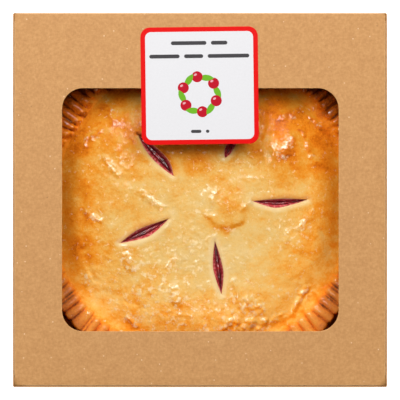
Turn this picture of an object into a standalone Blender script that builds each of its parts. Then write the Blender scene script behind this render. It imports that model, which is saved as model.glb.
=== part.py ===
"""A cherry pie in its foil pan, shut in a folded kraft carton with a clear window and a label.

Metres, +Z up. The origin is the centre of the carton's footprint, on the surface that it stands on.
-Y is the carton's front, where the lid tucks in; the lid folds from the back wall, at +Y.
"""

import math

import bmesh
import bpy
import numpy as np
from mathutils import Matrix, Vector

MM = 0.001
CLEARANCE = 0.3 * MM  # between solids that touch

# Carton: one piece of board, folded into a tray and a tuck-in lid.
CARTON_SIDE = 216 * MM
CARTON_HEIGHT = 63.5 * MM
BOARD = 0.5 * MM
FOLD_RADIUS = 0.8 * MM  # of a fold's outer face
FOLD_STEPS = 3
TUCK_GAP = 0.2 * MM  # between a wall and the flap tucked behind it
SIDE_FLAP = 24 * MM
FRONT_FLAP = 30 * MM
FLAP_NOTCH = 4 * MM  # cut away where two flaps would meet at a corner
FLAP_TAPER = 7 * MM

# Window in the lid, and the clear film glued below it.
WINDOW_WIDTH = 159.6 * MM
WINDOW_DEPTH = 140.2 * MM
WINDOW_CENTRE = Vector((0.2, -5.6)) * MM
WINDOW_CORNER = 12 * MM
FILM = 0.2 * MM
FILM_OVERLAP = 9 * MM

# Label: a round-cornered sticker, half on the lid's board and half on its film.
LABEL_SIDE = 67.7 * MM
LABEL_CORNER = 5.5 * MM
LABEL_THICKNESS = 0.15 * MM
LABEL_CENTRE = Vector((-0.2, 66)) * MM
LABEL_TURN = math.radians(0.7)

# Foil pan: a pressed eight-inch pie pan with a fluted wall and a rolled rim.
PAN_WALL = 0.4 * MM
PAN_DEPTH = 29 * MM
PAN_FLOOR_RADIUS = 74 * MM
PAN_TOP_RADIUS = 90 * MM
PAN_RIM_RADIUS = 98.5 * MM
PAN_ROLL = 1.1 * MM
PAN_FLUTE = 0.5 * MM
PAN_SEGMENTS = 60

# Pie: a crust shell round the filling, with crimped rim and vent slits.
PIE_CENTRE = Vector((0, -1.2)) * MM
CRUST_RADIUS = 103 * MM
CRUST_THICKNESS = 3.4 * MM
DOME_RISE = 12.5 * MM  # from the rim's valley to the middle of the top
DOME_RADIUS = 84 * MM
SHOULDER_POWER = 3.4  # how square the dome's profile is: 2 is a parabola
DOME_RINGS = ((24, (9, 18)), (48, (28, 39)), (96, (50, 60, 69, 77)))  # points, radii in millimetres
RIM_RISE = 2.2 * MM
RIM_EDGE = 0.8 * MM  # how far the rim's edge lies below its crimped top
FORK_MARKS = 24  # round the rim
TINES = 4  # grooves in each mark, side by side
TINE_PITCH = 5.3 * MM
CRIMP_DEPTH = 1.7 * MM
MARK_TURN = math.radians(1.2)  # how far a mark may be off its even place
FILLING_RADIUS = 82 * MM
FILLING_FLOOR_RADIUS = 71 * MM
FILLING_RINGS = ((24, (12,)), (48, (26, 42, 56, 68, 77)))  # points, radii in millimetres

# Vent slits, in millimetres and degrees. Each: middle (x, y) from the pie's centre, the way it points,
# length, width, and how far its left edge bulges more than its right.
SLITS = (
    ((-25.7, 27.0), 131, 31.5, 7.2, -0.2),
    ((21.2, 40.7), 66, 33, 5.7, 0.0),
    ((46.8, 1.0), 1.5, 32.5, 5.8, -0.6),
    ((10.6, -38.2), 97, 31.5, 6.2, 0.0),
    ((-32.5, -16.9), 26.5, 32, 6.8, -0.25),
)
SLIT_POINTS = 14

# Broad swellings of the top crust, in millimetres. Each: middle (x, y) from the pie's centre, radius,
# height.
SWELLINGS = (
    ((53.5, 36.0), 17, 2.6),
    ((17.5, -2.5), 12, 1.8),
    ((40.0, 54.0), 12, 1.2),
    ((-52.0, 42.0), 19, 1.4),
    ((-38.0, 12.0), 20, 1.0),
    ((-20.0, -52.0), 18, 1.2),
    ((-58.0, -14.0), 16, 1.0),
    ((38.0, -46.0), 22, 1.2),
    ((62.0, -28.0), 15, 1.0),
    ((32.0, 22.0), 14, -0.9),
    ((-6.0, 14.0), 16, -0.7),
    ((-48.0, -56.0), 13, -0.8),
)

PAN_BASE = BOARD + CLEARANCE
RIM_LEVEL = PAN_BASE + PAN_DEPTH + PAN_WALL + CLEARANCE + 3.4 * MM  # top of the rim's valley


def clear_scene():
    for thing in list(bpy.data.objects):
        bpy.data.objects.remove(thing)


def material(name, colour, roughness, alpha=1.0, metallic=0.0):
    made = bpy.data.materials.new(name)
    made.use_nodes = True
    shader = made.node_tree.nodes["Principled BSDF"]
    shader.inputs["Base Color"].default_value = (*colour, 1)
    shader.inputs["Roughness"].default_value = roughness
    shader.inputs["Metallic"].default_value = metallic
    shader.inputs["Alpha"].default_value = alpha
    return made


def object_from(bm, name, finish=None, smooth_angle=None):  # smooth_angle in degrees
    bmesh.ops.recalc_face_normals(bm, faces=bm.faces[:])
    mesh = bpy.data.meshes.new(name)
    bm.to_mesh(mesh)
    bm.free()
    if smooth_angle is not None:
        mesh.shade_smooth()
        mesh.set_sharp_from_angle(angle=math.radians(smooth_angle))
    made = bpy.data.objects.new(name, mesh)
    bpy.context.scene.collection.objects.link(made)
    if finish is not None:
        mesh.materials.append(finish)
    return made


def solidified(thing, thickness):
    """Gives a sheet its thickness, inwards from its outer face."""
    modifier = thing.modifiers.new("thickness", "SOLIDIFY")
    modifier.thickness = thickness
    modifier.offset = -1
    modifier.use_even_offset = True


def cut_from(thing, cutter):
    cutter.hide_render = True
    cutter.display_type = "WIRE"
    modifier = thing.modifiers.new(f"cut {cutter.name}", "BOOLEAN")
    modifier.operation = "DIFFERENCE"
    modifier.object = cutter


def rounded_rectangle(width, depth, corner, steps=6):
    """Points of a rectangle with round corners about (0, 0), anticlockwise."""
    points = []
    for quarter in range(4):
        side_x = 1 if quarter in (0, 3) else -1
        side_y = 1 if quarter in (0, 1) else -1
        middle = Vector((side_x * (width / 2 - corner), side_y * (depth / 2 - corner)))
        for step in range(steps + 1):
            angle = math.pi / 2 * (quarter + step / steps)
            points.append(middle + corner * Vector((math.cos(angle), math.sin(angle))))
    return points


def sheet_solid(name, outline, low, thickness, finish):
    """A flat sheet with this outline, standing at height low."""
    bm = bmesh.new()
    face = bm.faces.new([bm.verts.new((p.x, p.y, low)) for p in outline])
    raised = bmesh.ops.extrude_face_region(bm, geom=[face])["geom"]
    bmesh.ops.translate(
        bm,
        vec=(0, 0, thickness),
        verts=[v for v in raised if isinstance(v, bmesh.types.BMVert)],
    )
    return object_from(bm, name, finish)


# The carton


def tray(bm, hinge_half):
    """Floor and walls, up to where the lid's folds begin.

    Returns the stretch of the back wall's top edge that the lid folds from.
    """
    wall_top = CARTON_HEIGHT - FOLD_RADIUS
    size = Matrix.Diagonal((CARTON_SIDE, CARTON_SIDE, wall_top, 1))
    bmesh.ops.create_cube(bm, size=1, matrix=Matrix.Translation((0, 0, wall_top / 2)) @ size)
    open_top = [f for f in bm.faces if f.calc_center_median().z > wall_top - MM]
    bmesh.ops.delete(bm, geom=open_top, context="FACES_ONLY")
    folds = [e for e in bm.edges if min(v.co.z for v in e.verts) < MM]
    bmesh.ops.bevel(
        bm, geom=folds, offset=FOLD_RADIUS, segments=FOLD_STEPS, profile=0.5, affect="EDGES"
    )
    for x in (-hinge_half, hinge_half):
        everything = bm.verts[:] + bm.edges[:] + bm.faces[:]
        bmesh.ops.bisect_plane(bm, geom=everything, plane_co=(x, 0, 0), plane_no=(1, 0, 0))

    def on_hinge(v):
        return (
            v.co.y > CARTON_SIDE / 2 - MM / 10
            and v.co.z > wall_top - MM / 10
            and abs(v.co.x) < hinge_half + MM / 10
        )

    return [e for e in bm.edges if all(on_hinge(v) for v in e.verts)]


def folded(bm, edges, centre, axis):
    """Folds the board a quarter turn from these edges about a line. Returns its far edges."""
    spun = bmesh.ops.spin(
        bm, geom=edges, cent=centre, axis=axis, angle=math.pi / 2, steps=FOLD_STEPS
    )
    return [g for g in spun["geom_last"] if isinstance(g, bmesh.types.BMEdge)]


def flap(bm, edge, centre, axis, drop):
    """A tuck flap: a fold down from a panel's edge, then board that narrows towards its free edge."""
    far = folded(bm, [edge], centre, axis)
    grown = bmesh.ops.extrude_edge_only(bm, edges=far)["geom"]
    ends = [g for g in grown if isinstance(g, bmesh.types.BMVert)]
    middle = sum((v.co for v in ends), Vector()) / len(ends)
    for v in ends:
        v.co += (middle - v.co).normalized() * FLAP_TAPER
        v.co.z -= drop


def lid(bm, hinge, panel_half):
    """The panel with its window, folded from the back wall, and its three tuck flaps."""
    fold_level = CARTON_HEIGHT - FOLD_RADIUS
    panel_back = CARTON_SIDE / 2 - FOLD_RADIUS
    back = folded(bm, hinge, (0, panel_back, fold_level), (1, 0, 0))
    left, right = sorted({v for e in back for v in e.verts}, key=lambda v: v.co.x)
    side = panel_half - FLAP_NOTCH
    outline = [left]
    for x, y in (
        (-panel_half, panel_back - FLAP_NOTCH),
        (-panel_half, -side),
        (-panel_half, -panel_half),
        (-side, -panel_half),
        (side, -panel_half),
        (panel_half, -panel_half),
        (panel_half, -side),
        (panel_half, panel_back - FLAP_NOTCH),
    ):
        outline.append(bm.verts.new((x, y, CARTON_HEIGHT)))
    outline.append(right)
    window = [
        bm.verts.new((*(p + WINDOW_CENTRE), CARTON_HEIGHT))
        for p in rounded_rectangle(WINDOW_WIDTH, WINDOW_DEPTH, WINDOW_CORNER)
    ]
    rim = list(back)
    for a, b in zip(outline, outline[1:]):
        rim.append(bm.edges.new((a, b)))
    for a, b in zip(window, window[1:] + window[:1]):
        rim.append(bm.edges.new((a, b)))
    bmesh.ops.triangle_fill(bm, use_beauty=True, edges=rim)
    folds = (
        (outline[1], outline[2], (-panel_half, 0), (0, -1, 0), SIDE_FLAP),
        (outline[8], outline[7], (panel_half, 0), (0, 1, 0), SIDE_FLAP),
        (outline[4], outline[5], (0, -panel_half), (1, 0, 0), FRONT_FLAP),
    )
    for a, b, line, axis, drop in folds:
        flap(bm, bm.edges.get((a, b)), (*line, fold_level), axis, drop)


def make_carton(finish):
    panel_half = CARTON_SIDE / 2 - BOARD - TUCK_GAP - FOLD_RADIUS
    bm = bmesh.new()
    hinge = tray(bm, panel_half)
    lid(bm, hinge, panel_half)
    carton = object_from(bm, "carton", finish)
    floor = min(carton.data.polygons, key=lambda face: face.center.z)
    if floor.normal.z > 0:
        carton.data.flip_normals()
    solidified(carton, BOARD)
    return carton


def make_film(finish):
    outline = rounded_rectangle(
        WINDOW_WIDTH + 2 * FILM_OVERLAP, WINDOW_DEPTH + 2 * FILM_OVERLAP, 2 * MM, steps=2
    )
    low = CARTON_HEIGHT - BOARD - CLEARANCE - FILM
    return sheet_solid("window_film", [p + WINDOW_CENTRE for p in outline], low, FILM, finish)


def make_label(finish):
    outline = rounded_rectangle(LABEL_SIDE, LABEL_SIDE, LABEL_CORNER)
    turn = Matrix.Rotation(LABEL_TURN, 2)
    outline = [turn @ p + LABEL_CENTRE for p in outline]
    return sheet_solid("label", outline, CARTON_HEIGHT + CLEARANCE, LABEL_THICKNESS, finish)


# Round solids, built from rings of points that run from the top's middle out, down and back


def vertex_at(bm, radius, angle, height):
    x = PIE_CENTRE.x + radius * math.cos(angle)
    y = PIE_CENTRE.y + radius * math.sin(angle)
    return bm.verts.new((x, y, height))


def ring(bm, count, place):
    """count vertices round the pie's axis. place(angle, index) gives each one's radius and height."""
    made = []
    for i in range(count):
        angle = 2 * math.pi * i / count
        radius, height = place(angle, i)
        made.append(vertex_at(bm, radius, angle, height))
    return made


def stitch(bm, a, b):
    """Faces between two rings with equal numbers of points, or where one has twice as many."""
    if len(a) > len(b):
        a, b = b, a
    share = len(b) // len(a)
    for i, corner in enumerate(a):
        following = a[(i + 1) % len(a)]
        if share == 1:
            bm.faces.new((corner, following, b[(i + 1) % len(b)], b[i]))
            continue
        first, second, third = (b[(2 * i + k) % len(b)] for k in range(3))
        bm.faces.new((corner, second, first))
        bm.faces.new((corner, following, second))
        bm.faces.new((following, third, second))


def closed_by(bm, rings, top, bottom):
    """Joins the rings in turn, and closes the ends with fans to middles at heights top and bottom."""
    for a, b in zip(rings, rings[1:]):
        stitch(bm, a, b)
    for end, height in ((rings[0], top), (rings[-1], bottom)):
        apex = bm.verts.new((PIE_CENTRE.x, PIE_CENTRE.y, height))
        for i, v in enumerate(end):
            bm.faces.new((v, end[(i + 1) % len(end)], apex))


# The pie


def swelling(x, y):
    """Height added by the top crust's broad swellings at a point, from the pie's centre."""
    total = 0.0
    for (cx, cy), radius, height in SWELLINGS:
        away = ((x / MM - cx) ** 2 + (y / MM - cy) ** 2) / radius**2
        total += height * MM * math.exp(-1.5 * away)
    return total


def crust_top(radius, angle):
    """Height of the baked top, without its crimps."""
    if radius < DOME_RADIUS:
        share = radius / DOME_RADIUS
        dome = DOME_RISE * (1 - share**SHOULDER_POWER)
        fade = 1 - share**5
        lumps = swelling(radius * math.cos(angle), radius * math.sin(angle))
        return RIM_LEVEL + dome + fade * lumps
    across = (radius - DOME_RADIUS) / (CRUST_RADIUS - DOME_RADIUS)
    return RIM_LEVEL + RIM_RISE * math.sin(math.pi * min(1.0, 1.15 * across))


def crimped_ring(bm, radius, depth, turns, depths, drop=0.0):
    """A ring through the rim's fork marks: in each, the ridge before it, then its grooves and ridges.

    A mark's grooves run side by side, so they keep their distance while the rim widens outwards. With
    a drop, the ring is the rim's edge, which each groove notches.
    """
    angles = []
    for mark in range(FORK_MARKS):
        angles.append(2 * math.pi * mark / FORK_MARKS)
        middle = 2 * math.pi * (mark + 0.5) / FORK_MARKS + turns[mark]
        for half_step in range(2 * TINES - 1):
            aside = TINE_PITCH / 2 * (half_step + 1 - TINES)
            angles.append(middle + math.asin(aside / radius))
    made = []
    for i, angle in enumerate(angles):
        groove = depth * depths[i // 2] if i % 2 else 0.0
        outline = radius - (0.6 * groove if drop else 0.0)
        height = crust_top(radius, angle) - groove - drop
        made.append(vertex_at(bm, outline, angle, height))
    return made


def crust_outer(bm):
    """Outer surface of the crust: dome, crimped rim, side against the pan, and base."""
    rng = np.random.default_rng(7)
    turns = rng.uniform(-MARK_TURN, MARK_TURN, FORK_MARKS)
    depths = rng.uniform(0.6, 1.2, FORK_MARKS * TINES)

    def on_top(radius, count):
        return ring(bm, count, lambda angle, _: (radius, crust_top(radius, angle)))

    def crimped(radius, depth, drop=0.0):
        return crimped_ring(bm, radius, depth, turns, depths, drop)

    rings = [on_top(radius * MM, count) for count, radii in DOME_RINGS for radius in radii]
    rings += [
        crimped(DOME_RADIUS, 0),
        crimped(DOME_RADIUS + 5 * MM, CRIMP_DEPTH),
        crimped(CRUST_RADIUS - 4 * MM, CRIMP_DEPTH),
        crimped(CRUST_RADIUS, CRIMP_DEPTH, RIM_EDGE),
    ]
    gap = CLEARANCE + PAN_WALL
    under = PAN_BASE + PAN_DEPTH + gap
    floor = PAN_BASE + gap
    below = (
        (CRUST_RADIUS - 0.6 * MM, under + 0.5 * MM, 96),
        (PAN_RIM_RADIUS - 1.5 * MM, under + 0.2 * MM, 96),
        (PAN_TOP_RADIUS - PAN_FLUTE, under, 96),
        (PAN_FLOOR_RADIUS + 2 * MM - PAN_FLUTE, floor + 3 * MM, 48),
        (PAN_FLOOR_RADIUS - 2 * MM, floor, 48),
    )
    for radius, height, count in below:
        rings.append(ring(bm, count, lambda *_, r=radius, h=height: (r, h)))
    closed_by(bm, rings, crust_top(0, 0), floor)


def filling_outer(bm, inset):
    """The filling's surface, below the top crust and inside the side crust, pulled in by inset."""

    def below_crust(radius, count):
        depth = CRUST_THICKNESS + inset
        return ring(bm, count, lambda angle, _: (radius, crust_top(radius, angle) - depth))

    rings = [below_crust(radius * MM, count) for count, radii in FILLING_RINGS for radius in radii]
    base = PAN_BASE + PAN_WALL + CLEARANCE + CRUST_THICKNESS + inset
    for radius, height in (
        (FILLING_RADIUS, RIM_LEVEL - 1.5 * MM - inset),
        (FILLING_FLOOR_RADIUS, base + 2 * MM),
        (FILLING_FLOOR_RADIUS - 4 * MM, base),
    ):
        rings.append(ring(bm, 48, lambda *_, r=radius - inset, h=height: (r, h)))
    closed_by(bm, rings, crust_top(0, 0) - CRUST_THICKNESS - inset, base)


def slit_outline(length, width, bulge):
    """A lens between two curves. A positive bulge widens its left half, and a negative one its right."""
    points = []
    for side in (1, -1):
        half = width / 2 * (1 + side * bulge)
        for i in range(SLIT_POINTS // 2):
            along = math.cos(math.pi * i / (SLIT_POINTS // 2)) * side
            points.append(Vector((along * length / 2, side * half * (1 - along**2))))
    return points


def make_slit_cutter(index, place, heading, length, width, bulge):
    """A prism from inside the filling's space up through the top crust."""
    turn = Matrix.Rotation(math.radians(heading), 2)
    middle = PIE_CENTRE + Vector(place) * MM
    outline = [turn @ (p * MM) + middle for p in slit_outline(length, width, bulge)]
    away = Vector(place).length * MM
    low = crust_top(min(away + 0.4 * length * MM, 0.9 * DOME_RADIUS), 0) - 2.4 * CRUST_THICKNESS
    return sheet_solid(f"slit_cutter_{index}", outline, low, 5 * CRUST_THICKNESS, None)


def make_crust(finish):
    bm = bmesh.new()
    crust_outer(bm)
    crust = object_from(bm, "pie_crust", finish, smooth_angle=30)
    bm = bmesh.new()
    filling_outer(bm, 0)
    cut_from(crust, object_from(bm, "filling_space"))
    for index, slit in enumerate(SLITS):
        cut_from(crust, make_slit_cutter(index, *slit))
    return crust


def make_filling(finish):
    bm = bmesh.new()
    filling_outer(bm, CLEARANCE)
    return object_from(bm, "cherry_filling", finish, smooth_angle=40)


def make_pan(finish):
    """Pressed foil: floor, fluted wall, flat rim and rolled edge, first inside and then outside."""
    bm = bmesh.new()
    inner, top = PAN_BASE + PAN_WALL, PAN_BASE + PAN_DEPTH + PAN_WALL
    roll = PAN_RIM_RADIUS + PAN_ROLL
    profile = (
        (PAN_FLOOR_RADIUS - 2 * MM, inner, 0),
        (PAN_FLOOR_RADIUS + 2 * MM, inner + 2.6 * MM, 1),
        (PAN_TOP_RADIUS, top - 1.5 * MM, 1),
        (PAN_TOP_RADIUS + 1.5 * MM, top, 0),
        (PAN_RIM_RADIUS - 1 * MM, top, 0),
        (roll, top - PAN_ROLL, 0),
        (PAN_RIM_RADIUS, top - 2 * PAN_ROLL, 0),
        (PAN_RIM_RADIUS - 1 * MM, top - PAN_WALL, 0),
        (PAN_TOP_RADIUS + 1.5 * MM + PAN_WALL, top - PAN_WALL, 0),
        (PAN_TOP_RADIUS + PAN_WALL, top - 1.5 * MM, 1),
        (PAN_FLOOR_RADIUS + 2 * MM + PAN_WALL, inner + 2.2 * MM, 1),
        (PAN_FLOOR_RADIUS - 2 * MM, PAN_BASE, 0),
    )
    rings = []
    for radius, height, fluted in profile:
        def place(_, i, r=radius, h=height, f=fluted):
            return r + f * PAN_FLUTE * (1 if i % 2 else -1), h

        rings.append(ring(bm, PAN_SEGMENTS, place))
    closed_by(bm, rings, inner, PAN_BASE)
    return object_from(bm, "foil_pan", finish)


def main():
    clear_scene()
    make_carton(material("kraft", (0.60, 0.34, 0.14), 0.85))
    make_film(material("film", (0.95, 0.96, 0.97), 0.08, alpha=0.12))
    make_label(material("label", (0.88, 0.88, 0.88), 0.35))
    make_pan(material("foil", (0.80, 0.80, 0.82), 0.28, metallic=1.0))
    make_crust(material("crust", (0.82, 0.46, 0.11), 0.35))
    make_filling(material("filling", (0.24, 0.01, 0.03), 0.15))


main()
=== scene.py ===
"""How the boxed cherry pie looks: crust, filling, foil pan, folded carton, film and label.

Lengths are in millimetres until a mesh is made, which is in metres. The crust's and the filling's
places are given from the middle of the pie. +Y is the carton's back, and +Z is up.
"""

import math

import bmesh
import bpy
import numpy as np
from mathutils import Matrix, Vector, noise
from mathutils.geometry import delaunay_2d_cdt


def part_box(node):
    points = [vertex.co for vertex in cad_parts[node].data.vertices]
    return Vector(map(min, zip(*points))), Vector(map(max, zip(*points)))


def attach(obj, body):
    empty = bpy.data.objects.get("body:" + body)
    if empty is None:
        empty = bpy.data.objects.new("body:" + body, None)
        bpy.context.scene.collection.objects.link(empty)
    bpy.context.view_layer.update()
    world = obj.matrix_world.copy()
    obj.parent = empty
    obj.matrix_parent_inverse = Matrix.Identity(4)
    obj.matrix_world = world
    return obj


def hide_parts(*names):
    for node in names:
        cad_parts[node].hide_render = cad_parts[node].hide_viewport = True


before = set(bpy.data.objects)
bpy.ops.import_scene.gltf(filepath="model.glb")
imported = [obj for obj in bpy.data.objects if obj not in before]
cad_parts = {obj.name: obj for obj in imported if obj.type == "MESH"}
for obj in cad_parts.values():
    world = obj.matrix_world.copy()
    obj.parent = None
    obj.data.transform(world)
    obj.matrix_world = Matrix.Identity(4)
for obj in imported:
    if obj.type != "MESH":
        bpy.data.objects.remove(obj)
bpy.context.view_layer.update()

MM = 0.001


class Extent:
    """The box of a CAD node."""

    def __init__(self, node):
        low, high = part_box(node)
        self.low, self.high = low / MM, high / MM
        self.middle = (self.low + self.high) / 2
        self.size = self.high - self.low


CARTON = Extent("carton")
FILM = Extent("window_film")
LABEL = Extent("label")
PAN = Extent("foil_pan")
CRUST = Extent("pie_crust")
FILLING = Extent("cherry_filling")
PIE = CRUST.middle

# Crust
CRUST_RADIUS = CRUST.size.x / 2
CRUST_THICKNESS = 3.4
DOME_RISE = 12.5
DOME_RADIUS = 84
SHOULDER_POWER = 4.4
RIM_LEVEL = PAN.high.z + 3.7  # of the valley between dome and rim
RIM_COLUMNS = 1080
RIM_ROUNDING = 1.5
FORK_MARKS = 24
TINES = 4
TINE_PITCH = 6.1
RIDGE_HEIGHT = 3.0
RIDGE_START = 88  # radius where the crimped ridges begin
FRONT_RISE = 4.0
MARK_TURN = math.radians(1.2)

# Vent slits, each: middle (x, y), the way it points in degrees, length, then for its left and its
# right side how far it bulges and where along it (-1 to 1) it bulges most, and how blunt its ends are.
SLITS = (
    ((-25.7, 27.0), 131, 31.5, (2.9, 0.1), (4.2, -0.3), 1.9),
    ((21.2, 40.7), 66, 33, (2.7, 0.0), (2.8, 0.0), 6.0),
    ((46.8, 1.0), 1.5, 32.5, (1.2, 0.1), (4.6, -0.15), 1.35),
    ((10.6, -38.2), 97, 31.5, (3.2, 0.0), (3.0, -0.15), 1.5),
    ((-32.5, -16.9), 26.5, 32, (2.6, -0.2), (4.2, 0.08), 1.4),
)
SLIT_POINTS = 72
# Steps down a slit's wall, each: how far in and down it is, and how much the filling stains it.
SLIT_WALL = (
    (0.15, 0.15, 0.5),
    (0.4, 0.4, 0.9),
    (0.8, 0.75, 1.0),
    (1.2, 1.15, 1.0),
    (1.6, 1.7, 1.0),
    (1.9, 2.4, 1.0),
    (2.1, 3.3, 1.0),
)
LIP_WIDTH = 1.6
LIP_DROP = 0.5

# Broad swellings of the top crust, each: middle (x, y), radius, height.
SWELLINGS = (
    ((53.5, 36.0), 17, 2.6),
    ((17.5, -2.5), 12, 1.8),
    ((40.0, 54.0), 12, 1.2),
    ((-52.0, 42.0), 19, 1.4),
    ((-38.0, 12.0), 20, 1.0),
    ((-20.0, -52.0), 18, 1.2),
    ((-58.0, -14.0), 16, 1.0),
    ((38.0, -46.0), 22, 1.2),
    ((62.0, -28.0), 15, 1.0),
    ((32.0, 22.0), 14, -0.9),
    ((-6.0, 14.0), 16, -0.7),
    ((-48.0, -56.0), 13, -0.8),
)

# Creases, each: start, end, half width, depth.
CREASES = (
    ((40.5, 56.0), (38.5, 28.0), 2.6, 0.75),
    ((-69.0, 6.0), (-68.5, -28.0), 3.0, 0.6),
    ((-68.5, -28.0), (-62.0, -46.0), 2.6, 0.4),
    ((-56.0, -52.0), (-34.0, -62.0), 2.2, 0.35),
    ((72.0, -18.0), (76.0, -30.0), 2.4, 0.6),
)

# Raised folds and blisters that catch the light, each: start, end, half width, height.
FOLDS = (
    ((-53.5, 57.0), (-49.5, 49.0), 3.0, 0.9),
    ((-50.5, 49.0), (-47.5, 47.5), 1.5, 0.6),
    ((-63.5, 37.5), (-60.0, 42.0), 1.5, 0.6),
    ((-68.0, 33.0), (-67.0, 38.0), 1.1, 0.5),
    ((-55.5, 25.0), (-52.0, 20.0), 1.3, 0.6),
    ((-52.0, 20.0), (-48.0, 16.5), 1.6, 0.6),
    ((-33.0, 4.5), (-22.5, -2.5), 1.7, 0.6),
    ((-65.5, -5.5), (-58.0, -12.0), 1.3, 0.6),
    ((-43.0, -31.5), (-40.0, -38.0), 2.4, 0.6),
    ((-68.0, -48.0), (-65.0, -44.0), 1.5, 0.6),
    ((45.0, 26.0), (52.5, 35.5), 3.2, 0.65),
    ((63.0, 34.0), (65.5, 27.0), 1.5, 0.7),
    ((65.5, 27.0), (68.0, 23.0), 1.6, 0.7),
    ((56.0, 52.0), (58.5, 56.0), 2.2, 0.7),
    ((64.5, 50.5), (71.0, 45.5), 1.4, 0.6),
    ((47.5, 50.5), (52.5, 52.0), 1.5, 0.6),
    ((58.5, 43.0), (61.0, 38.5), 0.9, 0.4),
    ((6.5, -2.0), (9.5, 7.5), 1.2, 0.5),
    ((25.5, -3.5), (29.5, 0.0), 1.3, 0.5),
    ((55.0, -65.0), (61.5, -51.0), 1.5, 0.9),
    ((58.5, -66.0), (64.0, -55.0), 1.3, 0.6),
    ((67.0, -52.0), (68.5, -55.0), 1.0, 0.5),
    ((59.0, -14.0), (66.0, -7.0), 1.8, 0.5),
    ((27.5, -56.0), (31.0, -62.5), 1.3, 0.6),
    ((34.0, -60.0), (36.0, -63.5), 1.3, 0.6),
    ((19.5, -46.0), (25.0, -64.0), 1.2, 0.5),
    ((-16.0, -50.5), (-14.0, -58.0), 1.6, 0.6),
    ((-42.0, -68.0), (-38.0, -72.0), 1.4, 0.7),
    ((14.0, -77.0), (17.0, -69.5), 2.6, 1.6),
    ((20.5, -77.0), (21.5, -69.5), 1.8, 1.3),
    ((27.0, -77.0), (29.5, -70.0), 2.0, 1.4),
    ((36.0, -77.0), (37.0, -70.0), 1.7, 1.1),
    ((42.0, -70.0), (44.5, -68.5), 1.7, 0.9),
    ((48.0, -67.0), (52.5, -74.0), 1.8, 1.1),
    ((2.0, -74.0), (5.0, -78.0), 2.0, 0.9),
)

# Where the glaze is crinkled and blistered, each: middle (x, y), spread, how much (0 to 1).
CRINKLED = (
    ((-52, 52), 9, 0.4),
    ((-62, 38), 7, 0.6),
    ((-45, 18), 12, 0.35),
    ((-62, -8), 9, 0.5),
    ((-42, -36), 12, 0.7),
    ((-25, -56), 17, 0.8),
    ((-66, -42), 7, 0.6),
    ((-6, -30), 14, 0.7),
    ((50, 32), 10, 0.15),
    ((60, 50), 9, 0.5),
    ((26, 22), 12, 0.5),
    ((55, -20), 12, 0.8),
    ((60, -50), 9, 0.6),
    ((28, -60), 15, 0.6),
    ((0, -66), 26, 0.5),
    ((0, 0), 22, 0.35),
    ((-20, -36), 14, 0.5),
    ((-50, -60), 12, 0.6),
    ((-60, -25), 8, 0.5),
    ((20, -34), 12, 0.35),
)

# How much more or less the crust is browned than the rest, each: middle (x, y), radius, amount. Some entries are
# painted shade, not browning: the label's shadow and the crease beside it.
BROWNED = (
    ((55.0, 38.0), 24, 0.36),
    ((-52.0, 44.0), 30, 0.12),
    ((-62.0, 6.0), 26, 0.1),
    # painted shadow under the label's front edge
    ((-16.0, 34.0), 14, 0.3),
    ((10.0, 34.0), 14, 0.3),
    # painted shade in the crease right of the label, then painted shadow at the label's right side
    ((37.0, 50.0), 13, 0.22),
    ((33.0, 34.0), 11, 0.16),
    ((28.0, 18.0), 16, 0.14),
    ((-32.0, 18.0), 16, 0.13),
    ((-68.0, -32.0), 15, 0.1),
    ((-30.0, 40.0), 13, 0.28),
    ((8.0, -34.0), 30, -0.16),
    ((17.0, -4.0), 12, 0.22),
    ((-44.0, 0.0), 16, 0.06),
    # painted shadow under the label's front edge
    ((-2.0, 27.0), 13, 0.28),
    ((26.0, 30.0), 9, 0.12),
    ((-74.0, -6.0), 16, 0.16),
)

SHADE_BROWNING = 0.7  # painted shade: how much browner a slope to the front, away from the lamps, is painted than a flat, for each unit of slope


# Helpers for shapes


def smoothstep(low, high, value):
    share = np.clip((value - low) / (high - low), 0, 1)
    return share * share * (3 - 2 * share)


def field(x, y, size, seed, octaves=2):
    """Smooth noise of about -1 to 1, whose lumps are size across."""
    basis = {"noise_basis": "PERLIN_ORIGINAL"}
    shift = 17.3 * seed
    return np.array(
        [
            noise.fractal((a / size + shift, b / size - shift, shift), 1.0, 2.0, octaves, **basis)
            for a, b in zip(x, y)
        ]
    )


def ridges(x, y, size, seed):
    """Thin winding ridges of height 0 to 1 between smooth hollows."""
    return np.clip(1 - 5 * np.abs(field(x, y, size, seed, 1)), 0, 1) ** 2


def distance_to(loop, points):
    """Distance of each point from a closed loop, negative inside it."""
    best = np.full(len(points), np.inf)
    inside = np.zeros(len(points), bool)
    for p, q in zip(loop, np.roll(loop, -1, axis=0)):
        step = q - p
        offset = points - p
        share = np.clip(offset @ step / (step @ step), 0, 1)
        best = np.minimum(best, np.hypot(*(offset - share[:, None] * step).T))
        crosses = (p[1] > points[:, 1]) != (q[1] > points[:, 1])
        with np.errstate(divide="ignore", invalid="ignore"):
            at = p[0] + offset[:, 1] * step[0] / step[1]
        inside ^= crosses & (points[:, 0] < at)
    return np.where(inside, -best, best)


def circle(radius, count):
    angles = 2 * np.pi * np.arange(count) / count
    return radius * np.column_stack((np.cos(angles), np.sin(angles)))


def rounded_rectangle(width, depth, corner, steps=12):
    points = []
    for quarter in range(4):
        side_x = 1 if quarter in (0, 3) else -1
        side_y = 1 if quarter in (0, 1) else -1
        middle = np.array((side_x * (width / 2 - corner), side_y * (depth / 2 - corner)))
        angles = np.pi / 2 * (quarter + np.arange(steps + 1) / steps)
        points.append(middle + corner * np.column_stack((np.cos(angles), np.sin(angles))))
    return np.concatenate(points)


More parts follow.
